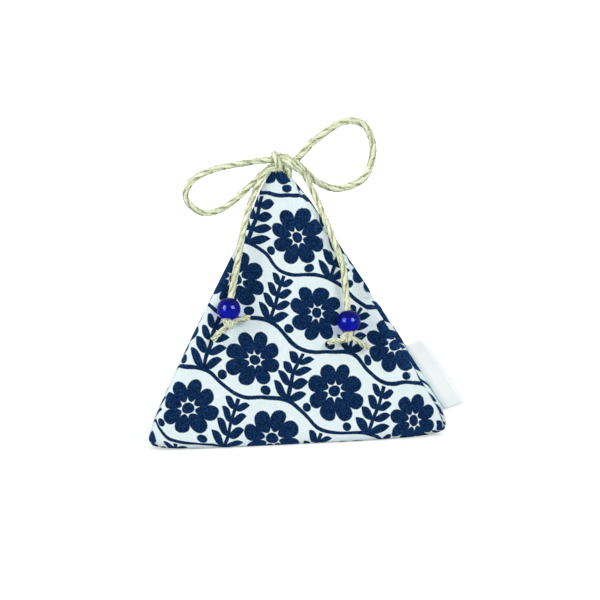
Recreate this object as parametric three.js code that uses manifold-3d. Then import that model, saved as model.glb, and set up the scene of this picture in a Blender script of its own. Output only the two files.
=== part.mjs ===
// A tetrahedral lavender sachet tied with a beaded twine bow. Millimetres, +Z up, front towards -Y.
// The origin lies on the flat of the base, straight under the top corner.

import * as THREE from 'three';
import { mergeVertices } from 'three/addons/utils/BufferGeometryUtils.js';
import Module from 'manifold-3d';

const wasm = await Module();
wasm.setup();

// Pillow: a cloth tetrahedron, swollen by its filling
const EDGE = 114.64; // edge of the sharp tetrahedron that the swollen faces touch
const CORNER_LOSS = 5.2; // how far each sharp corner is blunted by the cloth folded inside it
const CRISPNESS = 12; // higher makes the folded edges crisper and the faces flatter
const FLAT_DEPTH = 0.5; // how deep the base is pressed flat
const FLAT_REACH = 50; // from the middle of the base to the corners of the patch that bears the weight
const FLAT_RIM = 0.25; // how far the base outside that patch stays off the ground
const CLOTH = 0.8; // wall of the cover
const GAP = 0.3; // clearance between pieces that touch
const GRID = 14; // steps along each edge of the modelled surface

// Closing seam, which runs down the right-hand front edge
const LIP_THICKNESS = 1.3; // cloth turned in on each side of the seam
const LIP_DEPTH = 7.5;
const SLIT = 0.4;
const SLIT_INSET = 1.5; // degrees, as seen from the middle of the pillow, left closed at each end
const THREAD = 0.6;
const THREAD_DEPTH = 6;
const THREAD_END = 17; // the stitching stops this far from the sharp corners

// Label, a tape folded double and caught in the closing seam
const LABEL_WIDTH = 25;
const LABEL_STANDS_OUT = 7.5;
const LABEL_OFFSET = 32; // its middle, measured down the seam from the seam's middle
const LABEL_LAYER = 0.35;
const LABEL_FOLD = 0.2; // space between the two layers
const LABEL_ROOT = 0.7; // where the free flap starts, measured out from the seam
const LABEL_SEWN = 4.5; // how deep the tape reaches into the seam

// Twine, bow and beads
const TWINE = 2;
const LOOP_TWINE = 1.2; // the thinner twine of the hanging loop
const LOOP_LEGS = [1.5, 4.5]; // degrees from the top corner at which its legs leave the seam
const LOOP_SEWN = 4.5;
const CORE = 2.6; // the two strands laid together through the middle of the bow
const WRAP = 4.2; // middle line of the turn of twine round them
const SWING_ROOM = 0.3; // extra room in the bow knot for the strands that bend there
const BEAD_WIDTH = 7.8;
const BEAD_HEIGHT = 7.1;
const BEAD_CLEARANCE = 0.4;
const BEAD_SLIDE_STRETCH = 18; // straight twine above each bead
const PLY = 1.3; // one of the two plies that the twine opens into below the bead
const END_KNOT = 3.2; // height of the small knot under each bead
const END_KNOT_WIDTH = 3.9;
const TAIL_SWING = 120; // degrees that a tail lifts off the face
const LEFT_BEAD = { across: -22.05, down: 52.8, lean: 14.7 }; // from the sharp top corner, lean in degrees
const RIGHT_BEAD = { across: 17.9, down: 58.8, lean: -2 };

// Stitching inside the two seams that are sewn shut
const STITCHED_FROM = 0.06; // shares of the seam's length
const STITCHED_TO = 0.94;

// How finely the round pieces are stepped
const TWINE_SIDES = 8;
const THREAD_SIDES = 6;
const LOOP_STEPS = 26;
const TAIL_STEPS = 18;
const EYE_STEPS = 40;
const STITCH_STEPS = 20;
const SHORT_STEPS = 8;
const BEAD_SIDES = 20;
const SWING_STEPS = 8;
const MERGE = 1e-4; // vertices closer than this are one

const TAU = Math.PI * 2;
const FACE_ANGLE = Math.acos(1 / 3);
const FACE = EDGE / (2 * Math.sqrt(6));
const MIDDLE = new THREE.Vector3(0, 0, FACE - FLAT_DEPTH);
const SEAM_REACH = EDGE / 2 - THREAD_END;

const round = (azimuth) => new THREE.Vector3(
  Math.sin(FACE_ANGLE) * Math.cos(azimuth), Math.sin(FACE_ANGLE) * Math.sin(azimuth), -Math.cos(FACE_ANGLE));
const TOP = new THREE.Vector3(0, 0, 1);
const LEFT = round(-TAU * 5 / 12);
const RIGHT = round(-TAU / 12);
const REAR = round(TAU / 4);
const CORNERS = [TOP, LEFT, RIGHT, REAR];

const material = (color, roughness, metalness = 0) =>
  new THREE.MeshStandardMaterial({ color, roughness, metalness });
const CLOTH_FINISH = material(0xe8eeee, 0.9);
const BUD_FINISH = material(0x7a6f96, 1);
const THREAD_FINISH = material(0xf1f0ea, 0.7);
const TWINE_FINISH = material(0xcfcb9e, 0.85);
const TAPE_FINISH = material(0xf2f6f5, 0.75);
const GLASS_FINISH = material(0x1a1f8c, 0.12);

const point = ([x, y, z]) => new THREE.Vector3(x, y, z);

// Solids for joining and cutting

function solid(geometry) {
  const plain = geometry.clone();
  plain.deleteAttribute('normal');
  plain.deleteAttribute('uv');
  const merged = mergeVertices(plain, MERGE);
  return new wasm.Manifold(new wasm.Mesh({
    numProp: 3,
    vertProperties: new Float32Array(merged.attributes.position.array),
    triVerts: new Uint32Array(merged.index.array),
  }));
}

function geometryOf(manifold) {
  const mesh = manifold.getMesh();
  const geometry = new THREE.BufferGeometry();
  geometry.setAttribute('position', new THREE.BufferAttribute(new Float32Array(mesh.vertProperties), 3));
  geometry.setIndex(new THREE.BufferAttribute(new Uint32Array(mesh.triVerts), 1));
  geometry.computeVertexNormals();
  return geometry;
}

const joined = (...geometries) => geometries.map(solid).reduce((whole, next) => whole.add(next));

function named(name, geometry, finish) {
  const mesh = new THREE.Mesh(geometry, finish);
  mesh.name = name;
  return mesh;
}

// A tube along points, with a regular polygon as its section
function tube(points, diameter, steps, sides = TWINE_SIDES) {
  const section = new THREE.Shape();
  for (let i = 0; i < sides; i++) {
    const turn = TAU * i / sides;
    section[i ? 'lineTo' : 'moveTo'](diameter / 2 * Math.cos(turn), diameter / 2 * Math.sin(turn));
  }
  section.closePath();
  return new THREE.ExtrudeGeometry(section, { steps, extrudePath: new THREE.CatmullRomCurve3(points) });
}

const ball = (centre, radius) => new THREE.SphereGeometry(radius, 12, 8).translate(...centre.toArray());

// The pillow's form

// Distance from the middle to the surface, with every face and corner plane drawn in by inset
function reach(direction, inset = 0) {
  let sum = 0;
  for (const corner of CORNERS) {
    const along = direction.dot(corner);
    const plane = along < 0 ? FACE - inset : 3 * FACE - CORNER_LOSS - inset;
    sum += (Math.abs(along) / plane) ** CRISPNESS;
  }
  return sum ** (-1 / CRISPNESS);
}

const surface = (direction, inset = 0) =>
  MIDDLE.clone().addScaledVector(direction, reach(direction, inset));

// Closed pillow, inset from the outer surface all round and pressed flat at the base
function pillow(inset, scale = 1) {
  const corners = CORNERS.flatMap((corner) => corner.toArray());
  const faces = [0, 1, 2, 0, 2, 3, 0, 3, 1, 1, 3, 2];
  const geometry = new THREE.PolyhedronGeometry(corners, faces, 1, GRID - 1);
  const places = geometry.attributes.position;
  const direction = new THREE.Vector3();
  for (let i = 0; i < places.count; i++) {
    direction.fromBufferAttribute(places, i).normalize();
    const place = direction.clone().multiplyScalar(reach(direction, inset) * scale).add(MIDDLE);
    places.setXYZ(i, place.x, place.y, Math.max(place.z, inset + FLAT_RIM));
  }
  return solid(geometry);
}

// Three-cornered patch of the base that bears the weight
const bearingPatch = () =>
  new THREE.CylinderGeometry(FLAT_REACH, FLAT_REACH, CLOTH, 3).rotateX(-Math.PI / 2).translate(0, 0, CLOTH / 2);

// Frame on a seam: x down the seam, z straight out of the pillow, origin on the seam's middle
function seamFrame(from, to) {
  const out = from.clone().add(to).normalize();
  const along = to.clone().sub(from).normalize();
  const frame = new THREE.Matrix4().makeBasis(along, out.clone().cross(along), out);
  return frame.setPosition(surface(out));
}

// Wedge in a seam's plane, from the middle of the pillow to well outside it
function seamWedge(from, to, thickness, insetDegrees) {
  const inset = THREE.MathUtils.degToRad(insetDegrees);
  const half = from.angleTo(to) / 2 - inset;
  const far = 2 * EDGE;
  const wedge = new THREE.Shape([
    new THREE.Vector2(0, 0),
    new THREE.Vector2(far * Math.sin(half), far * Math.cos(half)),
    new THREE.Vector2(-far * Math.sin(half), far * Math.cos(half)),
  ]);
  const geometry = new THREE.ExtrudeGeometry(wedge, { depth: thickness, bevelEnabled: false });
  geometry.translate(0, 0, -thickness / 2).rotateX(Math.PI / 2);
  const frame = seamFrame(from, to).setPosition(MIDDLE);
  return solid(geometry.applyMatrix4(frame));
}

// Stitching along the inside of a seam that is sewn shut
function innerStitching(from, to) {
  const depth = CLOTH + GAP + THREAD / 2;
  const angle = from.angleTo(to);
  const axis = from.clone().cross(to).normalize();
  const points = [];
  for (let i = 0; i <= STITCH_STEPS; i += 2) {
    const share = THREE.MathUtils.lerp(STITCHED_FROM, STITCHED_TO, i / STITCH_STEPS);
    points.push(surface(from.clone().applyAxisAngle(axis, angle * share), depth));
  }
  return (diameter) => tube(points, diameter, STITCH_STEPS, THREAD_SIDES);
}

// Frame on the front face: origin at the sharp top corner, x right, y up the face, z out of it
const front = new THREE.Group();
front.position.copy(MIDDLE).addScaledVector(TOP, 3 * FACE);
front.rotation.x = FACE_ANGLE;
front.updateMatrixWorld();

// Bow routes in the frame of the front face, chosen by hand
const beadPlace = ({ across, down }) => new THREE.Vector3(across, -down, BEAD_WIDTH / 2 + GAP);
const leaning = ({ lean }) =>
  new THREE.Vector3(0, 1, 0).applyAxisAngle(new THREE.Vector3(0, 0, 1), -THREE.MathUtils.degToRad(lean));
const TAILS = {
  left: {
    bead: beadPlace(LEFT_BEAD),
    straight: leaning(LEFT_BEAD),
    upper: [[-5.1, -7.4, 1], [-8.6, -11.6, 1.5], [-12.1, -18.2, 2.4], [-15.2, -26.6, 3.4]],
    knot: [1, 0.1, 0], // how far the end knot has slipped to a side of the bead's middle
    ends: [[7.2, 2.1, -1.6], [-5.4, -4.7, -1.6]],
  },
  right: {
    bead: beadPlace(RIGHT_BEAD),
    straight: leaning(RIGHT_BEAD),
    upper: [[6.7, -8.3, 1], [9.3, -14.5, 1.6], [11.8, -21.7, 2.4], [14.8, -31.4, 3.4]],
    knot: [-1.8, -0.2, 0],
    ends: [[-5.4, -0.9, -1.6], [7.8, -3.4, -1.6]],
  },
};
const BOWS = {
  left: [[-3.5, -3.6, 0], [-8.2, -3.9, 0.6], [-14, -4.6, 1.3], [-19.8, -5.4, 2], [-24.1, -6.4, 2.5],
    [-28, -7.8, 3], [-31.4, -10, 3.4], [-33.4, -12.8, 3.5], [-33.6, -15.5, 3.2], [-32, -18, 2.4],
    [-27.5, -20.4, 1.4], [-21.7, -19.3, 0.2], [-16.3, -16.1, -0.8], [-9.2, -10.2, -1.8], [-3.4, -5.6, -2]],
  right: [[5.4, -3.6, 0], [7.4, -1.6, -0.4], [10.4, 1.3, -1], [14.4, 4.1, -1.6], [18.4, 6.7, -2.2],
    [21.6, 8.2, -2.6], [25.2, 8.6, -3], [28.3, 7.8, -3.3], [30.4, 5.7, -3.5], [31.5, 2.8, -3.6],
    [31.8, -0.5, -3.6], [31.4, -3.8, -3.5], [30.1, -7.4, -3.4], [28.3, -10.2, -3.2], [25.4, -12.3, -3],
    [21.7, -13.4, -2.8], [17.7, -13.7, -2.6], [13.5, -12.3, -2.4], [9.8, -9.4, -2.3], [5.9, -5.6, -2.1]],
};
const CORE_ROUTE = [[-2.6, -4.1, 0], [0.7, -4.4, 0], [2.6, -4.6, 0], [4.9, -4.7, 0]];
const WRAP_PLACE = [-1.3, -3.8, 0];
const BAND_ROUTE = [[-1.2, -2.2, 1.8], [0.4, -2.8, 3], [2.4, -4.2, 3.6], [4.4, -5.7, 2.8], [6.2, -7.4, 1.4]];
const LEFT_STUB_ROUTE = [[-1, -6, 1], [-2.6, -6.6, 1], [-4.4, -7.1, 1]];
const EYE_PLACE = [2.1, -4.6, 0];

// The hanging loop's path: out of the seam, round the core of the bow, and back into the seam
function hangingLoopPath() {
  const legs = LOOP_LEGS.map((degrees) => {
    const axis = TOP.clone().cross(RIGHT).normalize();
    const direction = TOP.clone().applyAxisAngle(axis, THREE.MathUtils.degToRad(degrees));
    const root = surface(direction);
    const sewn = root.clone().addScaledVector(direction, -LOOP_SEWN);
    return [sewn, root].map((place) => front.worldToLocal(place));
  });
  const eye = point(EYE_PLACE);
  const clear = CORE / 2 + GAP + LOOP_TWINE / 2;
  const round = [[-1, 0], [-0.7, 0.7], [0, 1], [0.7, 0.7], [1, 0]].map(
    ([out, up]) => eye.clone().add(new THREE.Vector3(0, clear * up, clear * out)));
  return [...legs[0], ...round, ...legs[1].reverse()];
}
const HANGING_LOOP = hangingLoopPath();
const hangingLoop = (clearance) => tube(HANGING_LOOP, LOOP_TWINE + 2 * clearance, EYE_STEPS, THREAD_SIDES);

// Sub-parts

const closingFrame = seamFrame(TOP, RIGHT);
const closingThread = (diameter) =>
  new THREE.CylinderGeometry(diameter / 2, diameter / 2, 2 * SEAM_REACH, TWINE_SIDES)
  .rotateZ(Math.PI / 2).translate(0, 0, -THREAD_DEPTH);
const endStitching = innerStitching(LEFT, REAR);
const sideStitching = innerStitching(REAR, TOP.clone().add(RIGHT).normalize());

function labelTab(clearance, outer) {
  const width = LABEL_WIDTH + 2 * clearance;
  const thickness = 2 * LABEL_LAYER + LABEL_FOLD + 2 * clearance;
  const depth = LABEL_SEWN + clearance;
  return new THREE.BoxGeometry(width, thickness, depth + outer).translate(LABEL_OFFSET, 0, (outer - depth) / 2);
}

const lipSlab = 2 * LIP_THICKNESS + SLIT;
const lipScale = 1 - LIP_DEPTH / reach(TOP.clone().add(RIGHT).normalize());

function cover() {
  const outer = pillow(0);
  const lips = outer.intersect(seamWedge(TOP, RIGHT, lipSlab, 0)).subtract(pillow(0, lipScale));
  const pocket = labelTab(GAP, LABEL_STANDS_OUT).applyMatrix4(closingFrame);
  const channel = closingThread(THREAD + 2 * GAP).applyMatrix4(closingFrame);
  const eyelet = hangingLoop(GAP).applyMatrix4(front.matrixWorld);
  const shell = outer.add(solid(bearingPatch())).subtract(pillow(CLOTH)).add(lips)
    .subtract(seamWedge(TOP, RIGHT, SLIT, SLIT_INSET))
    .subtract(solid(pocket)).subtract(solid(channel)).subtract(solid(eyelet));
  return named('cover', geometryOf(shell), CLOTH_FINISH);
}

function filling() {
  const notch = seamWedge(TOP, RIGHT, lipSlab + 2 * GAP, 0).subtract(pillow(GAP, lipScale));
  const eyelet = hangingLoop(GAP).applyMatrix4(front.matrixWorld);
  const buds = pillow(CLOTH + GAP).subtract(notch).subtract(solid(eyelet))
    .subtract(solid(endStitching(THREAD + 2 * GAP)))
    .subtract(solid(sideStitching(THREAD + 2 * GAP)));
  return named('lavender_filling', geometryOf(buds), BUD_FINISH);
}

// The flap of folded tape outside the seam
function labelFlap() {
  const half = LABEL_LAYER + LABEL_FOLD / 2;
  const inner = LABEL_FOLD / 2;
  const bend = LABEL_STANDS_OUT - half;
  const folded = new THREE.Shape();
  folded.moveTo(half, LABEL_ROOT);
  folded.lineTo(half, bend);
  folded.absarc(0, bend, half, 0, Math.PI);
  folded.lineTo(-half, LABEL_ROOT);
  folded.lineTo(-inner, LABEL_ROOT);
  folded.lineTo(-inner, bend);
  folded.absarc(0, bend, inner, Math.PI, 0, true);
  folded.lineTo(inner, LABEL_ROOT);
  folded.closePath();
  const tape = new THREE.ExtrudeGeometry(folded, { depth: LABEL_WIDTH, bevelEnabled: false, curveSegments: 5 });
  const turned = new THREE.Matrix4().makeBasis(
    new THREE.Vector3(0, 1, 0), new THREE.Vector3(0, 0, 1), new THREE.Vector3(1, 0, 0));
  return tape.translate(0, 0, -LABEL_WIDTH / 2).applyMatrix4(turned).translate(LABEL_OFFSET, 0, 0);
}

// Twine of a tail, from the bow knot to the underside of its bead
function tailPoints({ upper, bead, straight }) {
  const stops = [1, 2 / 3, 1 / 3, 0].map((share) => share * BEAD_SLIDE_STRETCH);
  stops.push(-BEAD_HEIGHT / 2 + GAP / 2);
  return [...upper.map(point), ...stops.map((stop) => bead.clone().addScaledVector(straight, stop))];
}

function bead(place, straight) {
  const bore = TWINE / 2 + BEAD_CLEARANCE;
  const flat = Math.acos(bore / (BEAD_WIDTH / 2));
  const bulge = BEAD_HEIGHT / 2 / Math.sin(flat);
  const profile = [];
  for (let i = 0; i <= 12; i++) {
    const turn = flat * (i / 6 - 1);
    profile.push(new THREE.Vector2(BEAD_WIDTH / 2 * Math.cos(turn), bulge * Math.sin(turn)));
  }
  profile.push(profile[0].clone());
  const geometry = new THREE.LatheGeometry(profile, BEAD_SIDES);
  const upright = new THREE.Quaternion().setFromUnitVectors(new THREE.Vector3(0, 1, 0), straight);
  return geometry.applyQuaternion(upright).translate(...place.toArray());
}

// Small knot under a bead, with the two loose plies that leave it
function endKnot({ bead: place, straight, knot, ends }) {
  const strand = END_KNOT / 4;
  const drop = BEAD_HEIGHT / 2 + GAP + END_KNOT / 2;
  const centre = place.clone().addScaledVector(straight, -drop).add(point(knot));
  const turnRadius = END_KNOT_WIDTH / 2 - strand;
  const turns = [[1.2, 0], [1.9, 0.5]].map(([tip, twist]) =>
    new THREE.TorusGeometry(turnRadius, strand, 6, 12).rotateX(tip).rotateZ(twist).translate(...centre.toArray()));
  const plies = ends.map((end) => {
    const tip = centre.clone().add(point(end));
    const bend = centre.clone().lerp(tip, 0.5).add(new THREE.Vector3(0, 0, PLY / 2));
    return tube([centre, bend, tip], PLY, SHORT_STEPS);
  });
  const neck = place.clone().addScaledVector(straight, -BEAD_HEIGHT / 2 - GAP - PLY / 2);
  plies.push(ball(neck, PLY / 2), tube([neck, centre], PLY, 1));
  return geometryOf(joined(...turns, ball(centre, turnRadius), ...plies));
}

// Room that the top of a tail sweeps as it swings off the face
function swingRoom([hinge, next]) {
  const swept = [];
  for (let i = 0; i <= SWING_STEPS; i++) {
    const swing = THREE.MathUtils.degToRad(TAIL_SWING * i / SWING_STEPS);
    const end = next.clone().sub(hinge).applyAxisAngle(new THREE.Vector3(-1, 0, 0), swing).add(hinge);
    swept.push(tube([hinge, end], TWINE + 2 * GAP, 1));
  }
  return joined(...swept, ball(hinge, TWINE / 2 + GAP));
}

// Middle of the bow, cut clear of every strand that bends at it and of the hanging loop
function bowKnot() {
  const wrap = new THREE.TorusGeometry(WRAP / 2, TWINE / 2, 8, 16).rotateY(Math.PI / 2).translate(...WRAP_PLACE);
  const core = tube(CORE_ROUTE.map(point), CORE, SHORT_STEPS);
  const band = tube(BAND_ROUTE.map(point), TWINE, SHORT_STEPS);
  const stub = tube(LEFT_STUB_ROUTE.map(point), TWINE, SHORT_STEPS);
  let knot = joined(core, wrap, band, stub);
  for (const side of ['left', 'right']) {
    knot = knot.subtract(swingRoom(TAILS[side].upper.map(point)));
    for (const end of [BOWS[side][0], BOWS[side].at(-1)]) {
      knot = knot.subtract(solid(ball(point(end), TWINE / 2 + GAP + SWING_ROOM)));
    }
  }
  return geometryOf(knot.subtract(solid(hangingLoop(GAP))));
}

// Assembly

const sachet = new THREE.Group();
sachet.add(
  cover(),
  filling(),
  named('end_seam_thread', endStitching(THREAD), THREAD_FINISH),
  named('side_seam_thread', sideStitching(THREAD), THREAD_FINISH),
  front,
);

const closingSeam = new THREE.Group();
closingSeam.applyMatrix4(closingFrame);
closingSeam.add(
  named('closing_seam_thread', closingThread(THREAD), THREAD_FINISH),
  named('label_tab', labelTab(0, 0), TAPE_FINISH),
  named('side_label', labelFlap(), TAPE_FINISH),
);
sachet.add(closingSeam);

front.add(
  named('hanging_loop', hangingLoop(0), TWINE_FINISH),
  named('bow_knot', bowKnot(), TWINE_FINISH),
);
for (const side of ['left', 'right']) {
  const tail = TAILS[side];
  front.add(
    named(`bow_loop_${side}`, tube(BOWS[side].map(point), TWINE, LOOP_STEPS), TWINE_FINISH),
    named(`twine_tail_${side}`, tube(tailPoints(tail), TWINE, TAIL_STEPS), TWINE_FINISH),
    named(`bead_${side}`, bead(tail.bead, tail.straight), GLASS_FINISH),
    named(`end_knot_${side}`, endKnot(tail), TWINE_FINISH),
  );
}

export default sachet;
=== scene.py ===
# %% [markdown]
# # A lavender sachet tied with a beaded bow
#
# The object is a pyramid of printed cotton, stuffed with lavender buds. A thin twine loop is caught in
# the seam at its top corner, and a thicker twine is tied through it in a bow. Each tail of the bow
# carries a blue glass bead over a small knot, and a folded tape label sticks out of the side seam.
#
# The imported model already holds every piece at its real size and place. This lesson dresses it: the
# hard-edged solids are replaced by twisted twine, swollen cloth, spun glass and woven tape.

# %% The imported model, which everything is built around
import math
import random
from functools import partialmethod

import bmesh
import bpy
from mathutils import Matrix, Vector, noise
from mathutils.geometry import interpolate_bezier

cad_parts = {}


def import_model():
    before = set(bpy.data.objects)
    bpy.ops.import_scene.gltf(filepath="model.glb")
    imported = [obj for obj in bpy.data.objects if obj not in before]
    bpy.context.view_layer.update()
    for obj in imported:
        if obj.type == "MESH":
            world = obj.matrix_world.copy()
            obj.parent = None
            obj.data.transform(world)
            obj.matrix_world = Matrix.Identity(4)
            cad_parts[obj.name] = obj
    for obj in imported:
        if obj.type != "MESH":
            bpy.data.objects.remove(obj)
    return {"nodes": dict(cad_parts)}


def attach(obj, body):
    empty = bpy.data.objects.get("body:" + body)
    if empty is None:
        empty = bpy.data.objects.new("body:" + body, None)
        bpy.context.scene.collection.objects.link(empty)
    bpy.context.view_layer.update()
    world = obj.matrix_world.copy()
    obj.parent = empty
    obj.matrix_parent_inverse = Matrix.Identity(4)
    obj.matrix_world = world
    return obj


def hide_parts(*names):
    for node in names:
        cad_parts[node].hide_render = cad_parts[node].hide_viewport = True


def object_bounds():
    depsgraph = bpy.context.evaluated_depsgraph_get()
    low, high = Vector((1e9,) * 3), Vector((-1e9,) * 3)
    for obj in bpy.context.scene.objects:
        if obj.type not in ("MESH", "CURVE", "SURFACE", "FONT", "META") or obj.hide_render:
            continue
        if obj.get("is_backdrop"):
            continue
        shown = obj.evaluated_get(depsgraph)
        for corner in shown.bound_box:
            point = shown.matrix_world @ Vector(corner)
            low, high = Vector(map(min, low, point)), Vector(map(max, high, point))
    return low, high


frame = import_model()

CAD_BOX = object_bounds()
MM = 0.001
TAU = math.tau


def in_mm(box):
    return [[round(x / MM, 1) for x in corner] for corner in box]


def add_object(name, data):
    added = bpy.data.objects.new(name, data)
    bpy.context.scene.collection.objects.link(added)
    return added


print("CAD box in mm:", in_mm(CAD_BOX))

# %% [markdown]
# ## The camera
#
# The photograph was taken from far away with a long lens, a little to the left of the front face and a
# little above it. A long lens keeps the edges of the pyramid nearly parallel, so the camera stands three
# metres off and its lens is worked out from the size of one pixel at the sachet.

# %% Camera
FRAME_PIXELS = 600
PIXEL = 0.3325 * MM  # size of one pixel of the frame, measured at the sachet
ORIGIN_PIXEL = (281, 422.5)  # where the model's origin lies in the frame
AZIMUTH = math.radians(-12)
ELEVATION = math.radians(13)
CAMERA_DISTANCE = 3.0


def aim_camera():
    right = Vector((math.cos(AZIMUTH), math.sin(AZIMUTH), 0))
    level = Vector((math.sin(AZIMUTH), -math.cos(AZIMUTH), 0))
    back = level * math.cos(ELEVATION) + Vector((0, 0, math.sin(ELEVATION)))
    up = back.cross(right)
    across = (FRAME_PIXELS / 2 - ORIGIN_PIXEL[0]) * PIXEL
    upward = (ORIGIN_PIXEL[1] - FRAME_PIXELS / 2) * PIXEL
    place = right * across + up * upward + back * CAMERA_DISTANCE
    camera = add_object("camera", bpy.data.cameras.new("camera"))
    camera.data.lens = camera.data.sensor_width * CAMERA_DISTANCE / (FRAME_PIXELS * PIXEL)
    camera.matrix_world = Matrix.Translation(place) @ Matrix((right, up, back)).transposed().to_4x4()
    bpy.context.scene.camera = camera
    return camera


print("lens in mm:", round(aim_camera().data.lens))

# %% [markdown]
# ## Writing materials as arithmetic
#
# Weave, print and twine are all patterns made of sums and products. Wiring each sum by hand hides the
# formula, so a small class stands for a value that varies over a surface: adding or multiplying two of
# them adds the Math node and its links. The formulas below then read like formulas.

# %% Values that vary over a surface


class Field:
    """A value that varies over a surface. Arithmetic on it adds Math nodes to its node tree."""

    def __init__(self, tree, socket):
        self.tree = tree
        self.socket = socket

    def calculate(self, operation, *others):
        node = self.tree.nodes.new("ShaderNodeMath")
        node.operation = operation
        for slot, value in zip(node.inputs, (self, *others)):
            feed(self.tree, slot, value)
        return Field(self.tree, node.outputs[0])

    __add__ = partialmethod(calculate, "ADD")
    __sub__ = partialmethod(calculate, "SUBTRACT")
    __mul__ = partialmethod(calculate, "MULTIPLY")
    __truediv__ = partialmethod(calculate, "DIVIDE")
    __abs__ = partialmethod(calculate, "ABSOLUTE")
    min = partialmethod(calculate, "MINIMUM")
    max = partialmethod(calculate, "MAXIMUM")
    sin = partialmethod(calculate, "SINE")
    cos = partialmethod(calculate, "COSINE")
    floor = partialmethod(calculate, "FLOOR")
    angle = partialmethod(calculate, "ARCTAN2")

    def wrap(self, width):
        """Repeats every width, from minus half of it to half of it"""
        return self.calculate("WRAP", width / 2, -width / 2)

    def ramp(self, low, high):
        """Smoothly 0 below low and 1 above high"""
        node = self.tree.nodes.new("ShaderNodeMapRange")
        node.interpolation_type = "SMOOTHSTEP"
        feed(self.tree, node.inputs["Value"], self)
        node.inputs["From Min"].default_value = low
        node.inputs["From Max"].default_value = high
        return Field(self.tree, node.outputs[0])


def feed(tree, slot, value):
    if isinstance(value, Field):
        tree.links.new(value.socket, slot)
    elif hasattr(value, "is_linked"):
        tree.links.new(value, slot)
    else:
        slot.default_value = value


def length_of(x, y):
    return (x * x + y * y).calculate("SQRT")


def split(tree, vector):
    """The three parts of a vector, as fields"""
    node = tree.nodes.new("ShaderNodeSeparateXYZ")
    feed(tree, node.inputs[0], vector)
    return [Field(tree, out) for out in node.outputs]


# %% Patterns, colours and relief


def place_by(tree, vector, scale, turn=(0, 0, 0)):
    """A vector scaled and turned"""
    node = tree.nodes.new("ShaderNodeMapping")
    feed(tree, node.inputs["Vector"], vector)
    node.inputs["Scale"].default_value = scale
    node.inputs["Rotation"].default_value = turn
    return node.outputs[0]


def cloud(tree, vector, scale, detail=2.0):
    """Soft noise about a half"""
    node = tree.nodes.new("ShaderNodeTexNoise")
    feed(tree, node.inputs["Vector"], vector)
    node.inputs["Scale"].default_value = scale
    node.inputs["Detail"].default_value = detail
    return Field(tree, node.outputs["Fac"])


def blend_colours(tree, share, low, high):
    node = tree.nodes.new("ShaderNodeMix")
    node.data_type = "RGBA"
    feed(tree, node.inputs["Factor"], share)
    for slot, colour in ((node.inputs["A"], low), (node.inputs["B"], high)):
        feed(tree, slot, (*colour, 1) if isinstance(colour, tuple) else colour)
    return node.outputs["Result"]


def paint(tree, shader, colour, height, rise, strength):
    """Give a shader its colour, and a relief in which a height of 1 stands rise metres up"""
    feed(tree, shader["Base Color"], colour)
    node = tree.nodes.new("ShaderNodeBump")
    node.inputs["Distance"].default_value = rise
    node.inputs["Strength"].default_value = strength
    feed(tree, node.inputs["Height"], height)
    feed(tree, shader["Normal"], node.outputs[0])


# %% Node groups and materials


def new_group(name, inputs, outputs):
    """A shader node group with named sockets: its tree, what comes in, and the node to feed"""
    tree = bpy.data.node_groups.new(name, "ShaderNodeTree")
    for way, sockets in (("INPUT", inputs), ("OUTPUT", outputs)):
        for socket, kind in sockets.items():
            tree.interface.new_socket(socket, in_out=way, socket_type=f"NodeSocket{kind}")
    return tree, tree.nodes.new("NodeGroupInput").outputs, tree.nodes.new("NodeGroupOutput").inputs


def use_group(tree, group, **inputs):
    node = tree.nodes.new("ShaderNodeGroup")
    node.node_tree = group
    for name, value in inputs.items():
        feed(tree, node.inputs[name], value)
    return node.outputs


def new_material(name, **settings):
    """A material whose shader has these plain settings: its tree and the shader's sockets"""
    material = bpy.data.materials.new(name)
    material.use_nodes = True
    shader = material.node_tree.nodes["Principled BSDF"]
    for socket, value in settings.items():
        shader.inputs[socket.replace("_", " ")].default_value = value
    return material, material.node_tree, shader.inputs


def coordinates(tree, kind):
    return tree.nodes.new("ShaderNodeTexCoord").outputs[kind]


def in_millimetres(tree, kind, turn=(0, 0, 0)):
    return place_by(tree, coordinates(tree, kind), (1 / MM,) * 3, turn)


def attribute(tree, name):
    node = tree.nodes.new("ShaderNodeAttribute")
    node.attribute_name = name
    return node.outputs["Vector"]


# %% [markdown]
# ## Twine
#
# The twine is two plies of straw-coloured bast fibre, twisted round each other once in every four or five
# diameters. A smooth tube with a striped texture would look like wire where it shows against the white
# background, so each ply is a tube of its own, wound round the middle line. A ply starts as a circle,
# and its rim is extruded step by step through frames that follow the line without twisting.
#
# Every point also remembers where it lay on the straight ply, before the ply was wound. The material
# reads that, so that the fibres run along the ply however it bends.

# %% Lines for twine to follow
STEP = 0.45 * MM  # distance from ring to ring
FINE_STEP = 0.3 * MM  # the same where the bends are tight
BEZIER_POINTS = 20  # from stop to stop, before they are spaced evenly


def smooth_route(stops, step=STEP):
    """A smooth line through the stops, as points an even step apart"""
    line = [stops[0]]
    for i, (here, there) in enumerate(zip(stops, stops[1:])):
        before = stops[max(i - 1, 0)]
        after = stops[min(i + 2, len(stops) - 1)]
        handles = here + (there - before) / 6, there - (after - here) / 6
        line += interpolate_bezier(here, *handles, there, BEZIER_POINTS)[1:]
    return evenly(line, step)


def evenly(line, step):
    marks = [0.0]
    for here, there in zip(line, line[1:]):
        marks.append(marks[-1] + (there - here).length)
    count = max(2, round(marks[-1] / step))
    points = []
    k = 0
    for i in range(count + 1):
        goal = marks[-1] * i / count
        while k < len(line) - 2 and marks[k + 1] < goal:
            k += 1
        points.append(line[k].lerp(line[k + 1], (goal - marks[k]) / (marks[k + 1] - marks[k])))
    return points


def length_along(line):
    return sum((there - here).length for here, there in zip(line, line[1:]))


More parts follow.
